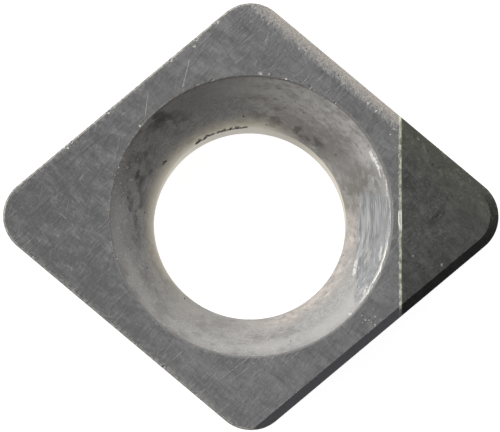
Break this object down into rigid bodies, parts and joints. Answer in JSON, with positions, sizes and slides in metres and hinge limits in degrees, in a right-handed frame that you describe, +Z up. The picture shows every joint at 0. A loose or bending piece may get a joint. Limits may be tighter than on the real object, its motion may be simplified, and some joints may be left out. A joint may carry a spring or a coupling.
{
  "type": "turning insert",
  "caption": "Small rhombic turning insert with a countersunk screw hole, relieved flanks and a dark superhard cutting tip brazed into one corner.",
  "frame": {"origin": "on the screw hole's axis, in the flat seat face that the insert lies on", "axes": "+Z up through the screw hole to the rake face; +X along the long diagonal to the corner that carries the brazed tip; +Y to the side corner on the left when looking along +X"},
  "size_m": [0.005, 0.0044, 0.0014],
  "materials": {
    "carbide": "fine ground grey cemented carbide, sintered skin in the countersink",
    "braze": "dull speckled silver braze",
    "superhard_tip": "fine ground dark greenish grey boron nitride compact"
  },
  "bodies": {
    "root": {"insert_body": "carbide", "braze_joint": "braze", "cbn_tip": "superhard_tip"}
  },
  "joints": []
}
